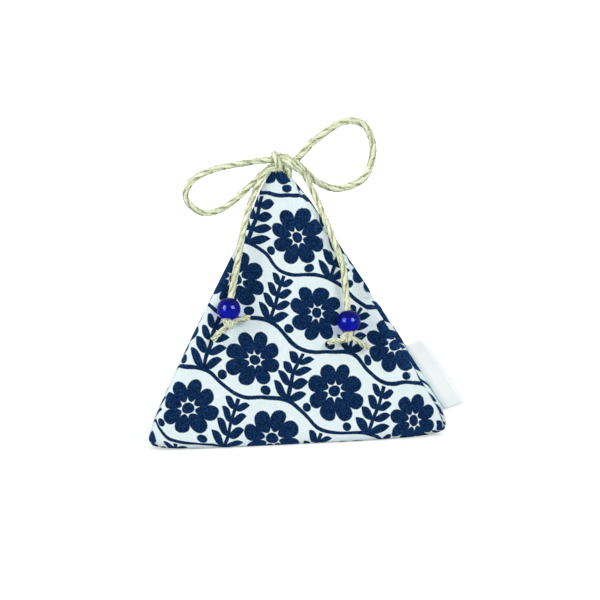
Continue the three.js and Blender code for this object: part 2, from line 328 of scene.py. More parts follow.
def frames_along(line):
    """A frame at each point of a line, with its z along the line, carried on without twisting"""
    ahead = [(there - here).normalized() for here, there in zip(line, line[1:])]
    ahead.append(ahead[-1])
    side = ahead[0].orthogonal()
    frames = []
    for place, z in zip(line, ahead):
        side = (side - z * side.dot(z)).normalized()
        frames.append(Matrix.Translation(place) @ Matrix((side, z.cross(side), z)).transposed().to_4x4())
    return frames


# %% Plies


def extrude_open(bm, edges):
    """Extrude a chain or ring of edges: the new points and the new edges between them"""
    made = bmesh.ops.extrude_edge_only(bm, edges=edges)["geom"]
    verts = [item for item in made if isinstance(item, bmesh.types.BMVert)]
    edges = [item for item in made if isinstance(item, bmesh.types.BMEdge)]
    return verts, [edge for edge in edges if set(verts).issuperset(edge.verts)]


def sweep(bm, frames, sides, radius):
    """Extrude a circle through frames that hold its place, turn and size, and close both ends"""
    straight = bm.verts.layers.float_vector["straight"]
    ring = bmesh.ops.create_circle(bm, cap_ends=True, segments=sides, radius=1)["verts"]
    for vert in ring:
        vert[straight] = vert.co * radius
    rim = list(dict.fromkeys(edge for vert in ring for edge in vert.link_edges))
    bmesh.ops.transform(bm, matrix=frames[0], verts=ring)
    for before, after in zip(frames, frames[1:]):
        ring, rim = extrude_open(bm, rim)
        bmesh.ops.transform(bm, matrix=after @ before.inverted(), verts=ring)
        stride = (after.translation - before.translation).length
        for vert in ring:
            vert[straight] = vert[straight] + Vector((0, 0, stride))
    bmesh.ops.contextual_create(bm, geom=rim)


# %% Strands
PLY_SIDES = 10
LAY = 4.4  # length of one turn of the twist, in thicknesses of the twine
PLY_DEEP = 0.31  # half of a ply's depth towards the strand's middle, in thicknesses too
PLY_BROAD = {2: 0.46, 3: 0.34}  # half of its breadth across that, by how many plies there are
PLY_UNEVEN = 0.14  # share by which a ply swells and thins
OPENS_FROM = 0.4  # share of a strand at which its far end begins to open
HAIR = 0.045 * MM
HAIR_POINTS = 5
HAIR_ROOT = 0.42  # how deep a hair starts, in thicknesses from the strand's middle
HAIR_REACH = (0.9, 2.4)  # millimetres
HAIR_LIFT = (0.25, 0.6)  # how steeply it stands off
HAIR_CURL = (-0.4, 0.4)


def lay_strand(bm, line, thickness, phase=0.0, plies=2, spread=0.0, fuller=0.0):
    """Twisted plies along a line. Towards its far end, spread opens them and fuller thickens them."""
    frames = frames_along(line)
    lay = LAY * thickness
    step = (line[1] - line[0]).length
    radial = thickness * PLY_DEEP
    across = thickness * PLY_BROAD[plies]
    for ply in range(plies):
        stations = []
        for i, place in enumerate(frames):
            share = i / len(frames)
            turn = phase + TAU * (ply / plies + i * step / lay)
            spot = Vector((ply * 7.3 + phase, thickness / MM, i * step / MM * 0.35))
            swell = 1 + PLY_UNEVEN * noise.noise(spot)
            swell += fuller * share
            opened = spread * max(0, share - OPENS_FROM) ** 2
            out = Matrix.Translation(((thickness / 2 - radial) * (1 + fuller * share) + opened, 0, 0))
            size = Matrix.Diagonal((radial * swell, across * swell, 1, 1))
            stations.append(place @ Matrix.Rotation(turn, 4, "Z") @ out @ size)
        sweep(bm, stations, PLY_SIDES, radial)


def add_fuzz(bm, line, thickness, count, seed):
    """Loose fibre ends that stand off a strand"""
    draw = random.Random(seed)
    frames = frames_along(line)
    for _ in range(count):
        at = frames[draw.randrange(2, len(frames) - 2)]
        turn = Matrix.Rotation(draw.uniform(0, TAU), 4, "Z")
        length = draw.uniform(*HAIR_REACH) * MM
        lift = draw.uniform(*HAIR_LIFT)
        curl = draw.uniform(*HAIR_CURL)
        hair = []
        for k in range(HAIR_POINTS):
            share = k / (HAIR_POINTS - 1)
            out = thickness * HAIR_ROOT + length * lift * share ** 1.6
            spot = Vector((out, curl * length * share ** 2, length * share))
            hair.append(at @ turn @ spot)
        thin = Matrix.Diagonal((HAIR, HAIR, 1, 1))
        sweep(bm, [place @ thin for place in frames_along(hair)], 3, thickness * 0.3)


def new_strands():
    bm = bmesh.new()
    bm.verts.layers.float_vector.new("straight")
    return bm


# %% Pieces


def mesh_from(bm, name):
    mesh = bpy.data.meshes.new(name)
    bm.to_mesh(mesh)
    bm.free()
    return mesh


def subdivide(piece, levels):
    smooth = piece.modifiers.new("smooth", "SUBSURF")
    smooth.levels = smooth.render_levels = levels


def make_piece(name, bm, material, body, replaced):
    """Turn a bmesh into a smooth piece that rides on a body"""
    bmesh.ops.recalc_face_normals(bm, faces=bm.faces)
    mesh = mesh_from(bm, name)
    mesh.shade_smooth()
    mesh.materials.append(material)
    piece = add_object(name, mesh)
    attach(piece, body)
    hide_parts(replaced)
    print(f"{name}: {len(mesh.polygons)} faces")
    return piece


# %% [markdown]
# The fibres of the twine are pale straw with greener and browner streaks. An image of twine would repeat,
# and stretch in the bends, so the streaks are noise drawn out along the straight ply, and the same streaks
# give the relief. Shade is painted into the colour too: the yarns are darker in the grooves between them,
# and a ply is painted a little darker where it sinks in beside the other one.

# %% Twine finish


def twine_finish():
    material, tree, shader = new_material("twine", Roughness=0.85, Specular_IOR_Level=0.2)
    straight = attribute(tree, "straight")
    streaks = cloud(tree, place_by(tree, straight, (9 / MM, 9 / MM, 0.5 / MM)), 1.0, 3.0)
    patches = cloud(tree, place_by(tree, straight, (0.3 / MM, 0.3 / MM, 0.18 / MM)), 1.0, 1.0)
    specks = cloud(tree, place_by(tree, straight, (3.5 / MM, 3.5 / MM, 1.6 / MM)), 1.0, 1.0)
    tone = (streaks - 0.5) * 1.1 + (specks - 0.5) * 0.9 + (patches - 0.5) * 0.8 + 0.63
    x, y, along = split(tree, straight)
    # Painted shade: the yarns are lighter on their crests and darker in the grooves between them
    yarns = abs((y.angle(x) * 1.5 + along * (TAU / (7 * MM))).sin())
    # Painted shade: a ply is darker where it sinks in beside the other one
    sunk = x.ramp(0.35 * MM, -0.1 * MM)
    tone = tone + yarns * 0.5 - sunk * 0.2 - 0.25
    straw = blend_colours(tree, tone.ramp(0.05, 0.95), (0.27, 0.29, 0.14), (0.90, 0.95, 0.70))
    paint(tree, shader, straw, streaks * 0.6 + yarns, 0.2 * MM, 0.9)
    return material


TWINE_FINISH = twine_finish()
print("nodes in the twine's finish:", len(TWINE_FINISH.node_tree.nodes))

# %% [markdown]
# ## The front face, and the bow on it
#
# The bow is tied in front of the top corner, so its routes are written in a frame of the front face: its
# origin is the sharp top corner of the pyramid, x runs across the face, y up it and z straight out of
# it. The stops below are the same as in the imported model, in millimetres.

# %% Frame of the front face
EDGE = 114.64 * MM  # edge of the sharp tetrahedron that the swollen faces touch
FLAT_DEPTH = 0.5 * MM  # how deep the base is pressed flat
FACE = EDGE / (2 * math.sqrt(6))  # from the middle of the pyramid to each face
FACE_ANGLE = math.acos(1 / 3)
MIDDLE = Vector((0, 0, FACE - FLAT_DEPTH))
FRONT = Matrix.Translation(MIDDLE + Vector((0, 0, 3 * FACE))) @ Matrix.Rotation(FACE_ANGLE, 4, "X")


def on_front(stops):
    return [FRONT @ (Vector(stop) * MM) for stop in stops]


print("height of the sharp pyramid in mm:", round((MIDDLE.z + 3 * FACE) / MM, 1))

# %% Bow loops
TWINE = 2 * MM
LOOPS = {
    "left": [
        (-3.5, -3.6, 0), (-8.2, -3.9, 0.6), (-14, -4.6, 1.3), (-19.8, -5.4, 2), (-24.1, -6.4, 2.5),
        (-28, -7.8, 3), (-31.4, -10, 3.4), (-33.4, -12.8, 3.5), (-33.6, -15.5, 3.2), (-32, -18, 2.4),
        (-27.5, -20.4, 1.4), (-21.7, -19.3, 0.2), (-16.3, -16.1, -0.8), (-9.2, -10.2, -1.8),
        (-3.4, -5.6, -2),
    ],
    "right": [
        (5.4, -3.6, 0), (7.4, -1.6, -0.4), (10.4, 1.3, -1), (14.4, 4.1, -1.6), (18.4, 6.7, -2.2),
        (21.6, 8.2, -2.6), (25.2, 8.6, -3), (28.3, 7.8, -3.3), (30.4, 5.7, -3.5), (31.5, 2.8, -3.6),
        (31.8, -0.5, -3.6), (31.4, -3.8, -3.5), (30.1, -7.4, -3.4), (28.3, -10.2, -3.2), (25.4, -12.3, -3),
        (21.7, -13.4, -2.8), (17.7, -13.7, -2.6), (13.5, -12.3, -2.4), (9.8, -9.4, -2.3), (5.9, -5.6, -2.1),
    ],
}
LOOP_TWINES = {"left": 2.15 * MM, "right": 2.4 * MM}  # the right loop's twist has opened a little
FUZZ_PER_LOOP = 46

for seed, (side, stops) in enumerate(LOOPS.items()):
    line = smooth_route(on_front(stops))
    bm = new_strands()
    lay_strand(bm, line, LOOP_TWINES[side], phase=seed)
    add_fuzz(bm, line, LOOP_TWINES[side], FUZZ_PER_LOOP, seed)
    loop = make_piece(f"twine_loop_{side}", bm, TWINE_FINISH, f"{side}_loop", f"bow_loop_{side}")
    print("loop length in mm:", round(length_along(line) / MM, 1))

# %% [markdown]
# The beads are cobalt glass, pressed or wound round a wire that left a bore through them. A plain sphere
# would have neither the bore nor the flattened ends, so half of the outline is drawn with its bore and
# spun round, and the two rims are bevelled. The glass is deep blue with a faint swirl, and painted light
# makes its colour brighter towards the bottom, where light passing through the glass would gather.

# %% Place of each bead
BEAD_WIDTH = 7.8 * MM
BEAD_HEIGHT = 7.1 * MM
BORE = 1.4 * MM
GAP = 0.3 * MM  # clearance between pieces that touch


def tail_frame(across, down, lean):
    """Frame of a bead: its y up the straight twine that it slides on, its z out of the face"""
    place = Vector((across * MM, -down * MM, BEAD_WIDTH / 2 + GAP))
    return FRONT @ Matrix.Translation(place) @ Matrix.Rotation(-math.radians(lean), 4, "Z")


BEAD_FRAMES = {"left": tail_frame(-22.05, 52.8, 14.7), "right": tail_frame(17.9, 58.8, -2)}
print("beads above the floor in mm:", [round(at.translation.z / MM, 1) for at in BEAD_FRAMES.values()])

# %% Glass finish


def glass_finish():
    material, tree, shader = new_material(
        "cobalt_glass", Roughness=0.07, IOR=1.25, Specular_IOR_Level=0.15, Transmission_Weight=0.3)
    place = place_by(tree, coordinates(tree, "Object"), (0.25 / MM, 0.25 / MM, 0.6 / MM))
    swirl = cloud(tree, place, 1.0, 3.0)
    height = split(tree, attribute(tree, "height"))[0]
    # Painted light: the colour is brighter towards the bottom of the bead, as if light passing through
    # gathered there
    share = (swirl - 0.5) * 0.9 - height * 0.3 + 0.45
    blue = blend_colours(tree, share.ramp(0, 1), (0.0005, 0.002, 0.13), (0.001, 0.006, 0.50))
    paint(tree, shader, blue, swirl, 0.1 * MM, 0.08)
    return material


GLASS_FINISH = glass_finish()
print("nodes in the glass finish:", len(GLASS_FINISH.node_tree.nodes))

# %% Beads
OUTLINE_STEPS = 24
SPIN_STEPS = 64
RIM_BEVEL = 0.35 * MM
SAME_LEVEL = 0.01 * MM


def spun_bead():
    """Half of the bead's outline, spun round its bore"""
    bm = bmesh.new()
    top = math.acos(BORE / (BEAD_WIDTH / 2))
    bulge = BEAD_HEIGHT / 2 / math.sin(top)
    outline = []
    for i in range(OUTLINE_STEPS + 1):
        turn = top * (2 * i / OUTLINE_STEPS - 1)
        outline.append(bm.verts.new((BEAD_WIDTH / 2 * math.cos(turn), bulge * math.sin(turn), 0)))
    outline.append(outline[0])
    edges = [bm.edges.new(pair) for pair in zip(outline, outline[1:])]
    bmesh.ops.spin(bm, geom=outline[:-1] + edges, cent=(0, 0, 0), axis=(0, 1, 0), angle=TAU,
                   steps=SPIN_STEPS, use_merge=True)
    bmesh.ops.remove_doubles(bm, verts=bm.verts, dist=0.001 * MM)
    bmesh.ops.recalc_face_normals(bm, faces=bm.faces)
    rims = [edge for edge in bm.edges
            if abs(abs(edge.verts[0].co.y) - BEAD_HEIGHT / 2) < SAME_LEVEL
            and abs(edge.verts[0].co.y - edge.verts[1].co.y) < SAME_LEVEL]
    bmesh.ops.bevel(bm, geom=rims, offset=RIM_BEVEL, segments=4, profile=0.5, affect="EDGES", material=-1)
    # The height up the bead drives the painted light that brightens its lower end
    height = bm.verts.layers.float.new("height")
    for vert in bm.verts:
        vert[height] = vert.co.y / (BEAD_HEIGHT / 2)
    return bm


beads = {}
for side, place in BEAD_FRAMES.items():
    bm = spun_bead()
    bmesh.ops.transform(bm, matrix=place, verts=bm.verts)
    beads[side] = make_piece(
        f"glass_bead_{side}", bm, GLASS_FINISH, f"{side}_bead", f"bead_{side}")

# %% [markdown]
# Under each bead the two plies are tied in a half knot, and their ends stick out to both sides. In a half
# knot two strands wind once round each other, so each ply is a helix of one turn that starts under the
# bead and leaves towards its own end. Neither knot sits straight under its bead, and the loose ends have
# begun to untwist, so their three yarns spread towards the tips.

# %% End knots
PLY = 1.6 * MM
END_KNOT = 3.2 * MM
KNOT_HALF = 1.35 * MM
KNOT_TURN = 0.68 * MM
KNOT_POINTS = 7  # stops on the turn that the plies make round each other
KNOT_SPREAD = 0.8 * MM
KNOT_FUZZ = 14
THROAT_HALF = 0.45 * MM  # half of the distance between the plies where they leave the bead
KNOT_SLIPS = {"left": (1, 0.1, 0), "right": (-1.8, -0.2, 0)}
LOOSE_ENDS = {
    "left": [(7.2, 2.1, -1.6), (-5.4, -4.7, -1.6)],
    "right": [(7.8, -3.4, -1.6), (-5.4, -0.9, -1.6)],
}


def half_knot_ply(way, throat, tip):
    """Stops of one ply from the bead's throat, in the knot's frame: way is 1 if it ends on the right"""
    stops = [
        throat - Vector((way * THROAT_HALF, 0, 0)),
        throat * 0.55 - Vector((way * KNOT_HALF * 0.8, 0, 0)),
    ]
    for i in range(KNOT_POINTS):
        share = i / (KNOT_POINTS - 1)
        turn = TAU * (0.25 - share) if way > 0 else TAU * (0.75 - share)
        across = way * KNOT_HALF * (2 * share - 1) * 0.8
        stops.append(Vector((across, KNOT_TURN * math.sin(turn), KNOT_TURN * math.cos(turn))))
    bend = stops[-1].lerp(tip, 0.5) + Vector((0, 0.2 * MM, PLY * 0.4))
    return [*stops, bend, tip]


for seed, (side, place) in enumerate(BEAD_FRAMES.items()):
    bm = new_strands()
    drop = BEAD_HEIGHT / 2 + GAP + END_KNOT / 2
    level = FRONT.to_3x3().to_4x4()
    level.translation = place @ Vector((0, -drop, 0)) + level @ (Vector(KNOT_SLIPS[side]) * MM)
    throat = level.inverted() @ place @ Vector((0, -BEAD_HEIGHT / 2 + GAP / 2, 0))
    for way, end in zip((1, -1), LOOSE_ENDS[side]):
        stops = half_knot_ply(way, throat, Vector(end) * MM)
        line = smooth_route([level @ stop for stop in stops], FINE_STEP)
        lay_strand(bm, line, PLY, phase=seed + way, plies=3, spread=KNOT_SPREAD)
        add_fuzz(bm, line[len(line) // 2:], PLY, KNOT_FUZZ, seed * 2 + way + 10)
    make_piece(
        f"half_knot_{side}", bm, TWINE_FINISH, f"{side}_tail", f"end_knot_{side}")

# %% [markdown]
# The tails hang from the bow knot down the face, and run straight where the beads slide on them. A
# simulation could let them hang, but the beads need that straight stretch, so each tail is a smooth line
# through a few stops.

# %% Tails
STRAIGHT_STOPS = (18, 12, 6, 0, -3.4)  # up the straight twine, measured from the bead's middle
TAIL_TOPS = {
    "left": [(-5.1, -7.4, 1), (-8.6, -11.6, 1.5), (-12.1, -18.2, 2.4), (-15.2, -26.6, 3.4)],
    "right": [(6.7, -8.3, 1), (9.3, -14.5, 1.6), (11.8, -21.7, 2.4), (14.8, -31.4, 3.4)],
}
TAIL_FULLER = 0.12  # a tail loosens towards its end
TAIL_FUZZ = 22

for seed, (side, tops) in enumerate(TAIL_TOPS.items()):
    straight = [BEAD_FRAMES[side] @ Vector((0, stop * MM, 0)) for stop in STRAIGHT_STOPS]
    line = smooth_route(on_front(tops) + straight)
    bm = new_strands()
    lay_strand(bm, line, TWINE, phase=2 + seed, fuller=TAIL_FULLER)
    add_fuzz(bm, line[:len(line) * 3 // 5], TWINE, TAIL_FUZZ, 20 + seed)  # the bead keeps the rest smooth
    tail = make_piece(f"twine_end_{side}", bm, TWINE_FINISH, f"{side}_tail", f"twine_tail_{side}")
    print("tail length in mm:", round(length_along(line) / MM, 1))

# %% [markdown]
# The middle of the bow is one turn of twine round the two strands that pass through the hanging loop. A
# pair of strands crosses from that turn to the right tail, and a short stub leads to the left one. A knot
# could be pulled tight in a simulation, but its strands would settle anywhere, so each one is laid along
# its own stops and pressed a little into its neighbours.

# %% Bow knot
KNOT_ROUTES = [  # stops of each strand, and its thickness
    ([(-4.6, -3.3, 0.1), (-2.6, -3.6, 0.2), (0.7, -4, 0.2), (2.6, -4.2, 0.1), (5.9, -3.3, -0.1)], 1.7),
    ([(-4.4, -6.4, -1.7), (-2.6, -5.2, -0.6), (0.7, -5, -0.2), (2.6, -5.1, -0.4), (6.4, -6, -2)], 1.7),
    ([(-0.9, -2.7, 1.3), (0.4, -3.1, 2), (2.9, -4.3, 2.5), (5.2, -5.8, 1.9), (7.2, -7.4, 0.4)], 2.1),
    ([(-0.4, -4.4, 1.9), (1.2, -5, 2.3), (3.2, -6.3, 2.4), (5.2, -7.6, 1.8), (6.9, -9, 1.1)], 2.1),
    ([(-1, -6, 1), (-2.6, -6.6, 1), (-4.4, -7.1, 1), (-5.6, -8, 1.1)], 2),
]
WRAP_PLACE = Vector((-1.7, -4.2, 0))
WRAP_RADIUS = 2.2
WRAP_TWINE = 2.6
WRAP_LEAN = 0.22
WRAP_START = -0.3  # share of a turn at which the wrap begins
WRAP_POINTS = 19
POINTS_PER_TURN = 16
BOW_FUZZ = 6


def wrap_route():
    stops = []
    for i in range(WRAP_POINTS):
        turn = TAU * (i / POINTS_PER_TURN + WRAP_START)
        lift = WRAP_RADIUS * Vector((0, math.sin(turn), math.cos(turn)))
        stops.append(WRAP_PLACE + lift - Vector((WRAP_LEAN * lift.y, 0, 0)))
    return stops


bm = new_strands()
for seed, (stops, thickness) in enumerate([*KNOT_ROUTES, (wrap_route(), WRAP_TWINE)]):
    line = smooth_route(on_front(stops))
    lay_strand(bm, line, thickness * MM, phase=seed * 1.3)
    add_fuzz(bm, line, thickness * MM, BOW_FUZZ, 30 + seed)
make_piece("bow_middle", bm, TWINE_FINISH, "sachet", "bow_knot")

# %% [markdown]
# ## The pyramid's form
#
# A stuffed pyramid keeps flat faces, round folds and blunt corners. One formula gives all three: the
# distance to the surface in a direction blends the distances to the four face planes and the four corner
# planes. A high power makes the folds crisp and a low one makes a ball.

# %% Form of the pyramid
CORNER_LOSS = 5.2 * MM  # how far each sharp corner is blunted by the cloth folded inside it
CRISPNESS = 12


def corner(azimuth):
    level = math.sin(FACE_ANGLE)
    return Vector((level * math.cos(azimuth), level * math.sin(azimuth), -math.cos(FACE_ANGLE)))


TOP = Vector((0, 0, 1))
LEFT = corner(-TAU * 5 / 12)
RIGHT = corner(-TAU / 12)
REAR = corner(TAU / 4)
CORNERS = (TOP, LEFT, RIGHT, REAR)


def reach(direction, inset=0.0, crispness=CRISPNESS):
    """Distance from the middle to the surface, drawn in by inset all round"""
    total = 0.0
    for each in CORNERS:
        along = direction.dot(each)
        plane = FACE - inset if along < 0 else 3 * FACE - CORNER_LOSS - inset
        total += (abs(along) / plane) ** crispness
    return total ** (-1 / crispness)


print("from the middle to the top corner in mm:", round(reach(TOP) / MM, 1))

# %% [markdown]
# The hanging loop is a thinner twine whose two ends are caught in the seam at the top corner. The bow is
# tied through it, so it rises behind the knot, turns over the bow's two strands and comes down again in
# front. It follows one smooth line like the rest of the twine.

# %% Hanging loop
LOOP_TWINE = 1.7 * MM
LOOP_LEGS = (1.2, 2.7)  # degrees from the top corner at which its legs leave the seam
LOOP_SEWN = 4.5 * MM
EYE_PLACE = Vector((1.7, -4.6, 0))
EYE_RADIUS = 2.2


def hanging_loop_stops():
    legs = []
    for degrees in LOOP_LEGS:
        out = Matrix.Rotation(math.radians(degrees), 3, TOP.cross(RIGHT).normalized()) @ TOP
        root = MIDDLE + out * reach(out)
        legs.append([root - out * LOOP_SEWN, root])
    eye = []
    for share in (-1, -0.5, 0, 0.5, 1):
        turn = TAU / 4 * share
        eye.append(EYE_PLACE + EYE_RADIUS * Vector((0, math.cos(turn), math.sin(turn))))
    crossing = [(1.1, -7.4, -1.2), *eye, (1.1, -6.2, 1.1), (2.2, -7.6, 0.9), (2.4, -8.8, 0.3)]
    return legs[0] + on_front(crossing) + legs[1][::-1]


bm = new_strands()
line = smooth_route(hanging_loop_stops(), FINE_STEP)
lay_strand(bm, line, LOOP_TWINE)
make_piece("sewn_in_loop", bm, TWINE_FINISH, "sachet", "hanging_loop")

# %% [markdown]
# ## The cover
#
# The cover is one rectangle of cotton, sewn into a tube and closed along two crossed edges. So the print
# runs on unbroken over four of the six edges, and only breaks at the closing seam, at the end seam and
# along the tube's own seam up the rear face. The mesh starts as the four corners of the sharp
# tetrahedron. The closing seam isn't quite on its edge: the stuffing has rolled it a little way round onto
# the front, so that a strip of the rear's print shows there. At the end each face is unfolded into the
# plane of the cloth, and that is the piece's UV map, in metres of cloth.

# %% Closing seam
SEAM_ALONG = (RIGHT - TOP).normalized()
SEAM_OUT = (RIGHT + TOP).normalized()
SEAM_SIDE = SEAM_ALONG.cross(SEAM_OUT)  # towards the front
SEAM_ROLL = 0.045  # angle that the closing seam is rolled round onto the front
SEAM_EASE = 0.9  # angle over which the roll fades out


def smooth_step(low, high, value):
    share = min(max((value - low) / (high - low), 0), 1)
    return share * share * (3 - 2 * share)


def rolled(place, way=1):
    """A place carried along as the closing seam rolls onto the front, or back again where way is -1"""
    arm = place - MIDDLE
    angle = math.atan2(arm.dot(SEAM_SIDE), arm.dot(SEAM_OUT))
    roll = 0.0
    for _ in range(4):
        start = angle if way > 0 else angle - roll
        roll = SEAM_ROLL * (1 - smooth_step(0, SEAM_EASE, abs(start)))
    return MIDDLE + Matrix.Rotation(way * roll, 3, SEAM_ALONG) @ arm


print("roll of the closing seam in degrees:", round(math.degrees(SEAM_ROLL), 1))

# %% Faces on the flat cloth


def flat_patches():
    """Where each face's top, left, right and rear lie on the flat cloth, and the corner across from it"""
    top = Vector((0, 0))
    left = Vector((-EDGE / 2, -EDGE * math.sqrt(3) / 2))
    right = Vector((EDGE / 2, -EDGE * math.sqrt(3) / 2))
    rear_by_left = top + left - right
    rear_by_base = left + right - top
    return {
        "front": ((top, left, right, top), REAR),
        "rear left": ((top, left, top, rear_by_left), RIGHT),
        "base": ((top, left, right, rear_by_base), TOP),
        "rear right, upper": ((top, top, top + rear_by_left - left, rear_by_left), LEFT),
        "rear right, lower": ((right + rear_by_base - left, top, right, rear_by_base), LEFT),
    }


def shares_of(place):
    """How much of each sharp corner there is in a place: the four shares add up to 1"""
    return [(1 + (place - MIDDLE).dot(each) / FACE) / 4 for each in CORNERS]


def patch_of(place):
    top, left, right, rear = shares_of(place)
    least = min(top, left, right, rear)
    if least == rear:
        return "front"
    if least == right:
        return "rear left"
    if least == top:
        return "base"
    return "rear right, upper" if top > right else "rear right, lower"


print("patches of the flat cloth:", len(flat_patches()))

# %% Cut cloth
GRID = 40  # steps along each edge
SHARP = [MIDDLE + 3 * FACE * each for each in CORNERS]
ON_IT = 1e-4  # a share this small counts as none
SIDE_SEAM_START = 0.06  # the side seam's crease ends this short of the closing seam


def seam_of(edge):
    """The seam that an edge lies on: 1 the closing seam, 2 the end seam, 3 the side seam, 0 none"""
    tops, lefts, rights, rears = zip(*(shares_of(vert.co) for vert in edge.verts))
    if max(lefts + rears) < ON_IT:
        return 1
    if max(tops + rights) < ON_IT:
        return 2
    halved = max(abs(top - right) for top, right in zip(tops, rights)) < ON_IT
    if max(lefts) < ON_IT and halved and min(rears) > SIDE_SEAM_START:
        return 3
    return 0


def cut_cloth():
    bm = bmesh.new()
    corners = [bm.verts.new(place) for place in SHARP]
    for trio in ((0, 1, 2), (0, 2, 3), (0, 3, 1), (1, 3, 2)):
        bm.faces.new([corners[i] for i in trio])
    bmesh.ops.subdivide_edges(bm, edges=bm.edges, cuts=GRID - 1, use_grid_fill=True)
    rear_right = [face for face in bm.faces if patch_of(face.calc_center_median()).startswith("rear right")]
    around = dict.fromkeys(item for face in rear_right for item in (face, *face.edges, *face.verts))
    bmesh.ops.bisect_plane(bm, geom=list(around), plane_co=MIDDLE, plane_no=(TOP - RIGHT).normalized())
    bmesh.ops.triangulate(bm, faces=[face for face in bm.faces if len(face.verts) > 3])
    seam = bm.edges.layers.int.new("seam")
    for edge in bm.edges:
        edge[seam] = seam_of(edge)
    return bm


bm = cut_cloth()
flat = [vert.co.copy() for vert in bm.verts]
print("points of the cut cloth:", len(flat))

# %% [markdown]
# Real cloth shows how it is stuffed: it strains between the corners, and puckers where a seam holds it
# short. A cloth simulation gives that. The mesh starts a little inside the form, the seams shrink, and
# pressure pushes the faces out. Each point is then kept within a millimetre or so of the form, and hardly
# outside it, so that the cover stays in its place under the twine and the beads.

# %% Form of the stuffed cover
FOLD_CRISPNESS = 14
CORNER_CRISPNESS = (16, 11.4, 10.6, 13)  # the turned-in cloth fills the corners out, the top one most
NEAR_CORNER = (0.6, 0.88)  # shares of a corner between which its own crispness sets in
FOLD_BREADTH = 0.12  # share of a corner over which a fold passes into its faces
TIP_SWELL = 1.5 * MM
TIP_LEAN = -0.7 * MM  # the bow has pulled the top corner over
TIP_SHARES = (0.67, 0.92)  # shares of the top corner between which its swell and lean set in
TIP_CUT = Vector((0.51, 0, 1)).normalized()  # the seam ends in a slanted fold across the top corner
TIP_CUT_REACH = 57.6 * MM
TIP_CUT_CRISPNESS = 25


def cover_form(place, inset=0.0):
    """The pyramid's form, with crisper corners, in the direction of a place near the sharp tetrahedron"""
    shares = shares_of(place)
    near = smooth_step(*NEAR_CORNER, max(shares))
    crisp = FOLD_CRISPNESS + (CORNER_CRISPNESS[shares.index(max(shares))] - FOLD_CRISPNESS) * near
    direction = (place - MIDDLE).normalized()
    tip = smooth_step(*TIP_SHARES, shares[0])
    out = reach(direction, inset * in_face(place), crisp) + TIP_SWELL * tip ** 2
    cut = max(direction.dot(TIP_CUT), 0) / TIP_CUT_REACH
    out = (out ** -TIP_CUT_CRISPNESS + cut ** TIP_CUT_CRISPNESS) ** (-1 / TIP_CUT_CRISPNESS)
    found = MIDDLE + direction * out
    found.x += TIP_LEAN * tip
    found.z = max(found.z, 0)
    return found


def in_face(place):
    """0 on the folds of the sharp tetrahedron, rising to 1 inside its faces"""
    return smooth_step(0, FOLD_BREADTH, sorted(shares_of(place))[1])


print("top of the stuffed cover in mm:", round(cover_form(SHARP[0]).z / MM, 1))

# %% Cloth under pressure
PRESSURE = 30.0
SIM_STEPS = 24
SEWN_REACH = 5 * MM  # how far from a seam the cloth is held short


def stuff_with_pressure(piece, seam_group):
    """Where a piece's points go when pressure swells it and its seams shrink"""
    cloth = piece.modifiers.new("cloth", "CLOTH")
    settings = cloth.settings
    settings.mass = 0.001
    settings.quality = 6
    settings.tension_stiffness = 25
    settings.compression_stiffness = 25
    settings.bending_stiffness = 0.02
    settings.use_pressure = True
    settings.uniform_pressure_force = PRESSURE
    settings.vertex_group_shrink = seam_group
    settings.shrink_min = 0.0
    settings.shrink_max = 0.08
    settings.effector_weights.gravity = 0
    for step in range(1, SIM_STEPS + 1):
        bpy.context.scene.frame_set(step)
    swollen = piece.evaluated_get(bpy.context.evaluated_depsgraph_get())
    moved = [vert.co.copy() for vert in swollen.data.vertices]
    piece.modifiers.remove(cloth)
    bpy.context.scene.frame_set(1)
    return moved


def from_line(place, start, end):
    """Distance from a straight line between two points"""
    line = end - start
    share = min(max((place - start).dot(line) / line.length_squared, 0), 1)
    return (place - start - line * share).length


def sewn_share(place):
    """1 on a seam of the sharp tetrahedron, falling to 0 a little way from it"""
    top, left, right, rear = SHARP
    seams = ((top, right), (left, rear), (rear, (top + right) / 2))
    return max(0.0, 1 - min(from_line(place, *seam) for seam in seams) / SEWN_REACH)


# %% Swollen cover
SIM_INSET = 0.6 * MM  # how far inside the form the simulation starts
MOVE_CAP = 1.2 * MM  # furthest that a point may end from the form
FOLD_HELD = 0.3  # share of that on a fold
PROUD = 0.1 * MM  # furthest outside it
SUNK = 0.55 * MM  # furthest inside it
FOLD_PROUD = 0.45 * MM  # the folds stand out a little more
LUMPS = 0.22 * MM
LUMP_SIZE = 9 * MM

for vert in bm.verts:
    vert.co = cover_form(rolled(vert.co), SIM_INSET)
cloth_mesh = mesh_from(bm, "cotton_cover")
cover = add_object("cotton_cover", cloth_mesh)
sewn = cover.vertex_groups.new(name="sewn")
for index, place in enumerate(flat):
    sewn.add([index], sewn_share(place), "REPLACE")
moved = stuff_with_pressure(cover, "sewn")
for vert, place, goal in zip(cloth_mesh.vertices, flat, moved):
    home = cover_form(rolled(place))
    outward = (home - MIDDLE).normalized()
    proud = PROUD + FOLD_PROUD * (1 - in_face(place))
    away = goal - home + outward * LUMPS * noise.noise(place / LUMP_SIZE)
    away *= min(1, MOVE_CAP * (FOLD_HELD + (1 - FOLD_HELD) * in_face(place)) / max(away.length, 1e-9))
    away += outward * (min(max(away.dot(outward), -SUNK), proud) - away.dot(outward))
    vert.co = home + away + outward * FOLD_PROUD * (1 - in_face(place))
    vert.co.z = max(vert.co.z, 0)
cover.vertex_groups.clear()
drawn_in = max((goal - place).length for goal, place in zip(moved, flat))
print("furthest that a sharp corner is drawn in, in mm:", round(drawn_in / MM, 1))

# %% [markdown]
# The closing seam is where two turned-in edges meet, so it shows as a thin groove between two soft lips.
# The other two seams were sewn from the inside and show only a crease. A dark line in the material would
# show neither from the side, so each seam's edges are bevelled into several rows, and the rows near its
# middle are drawn in.

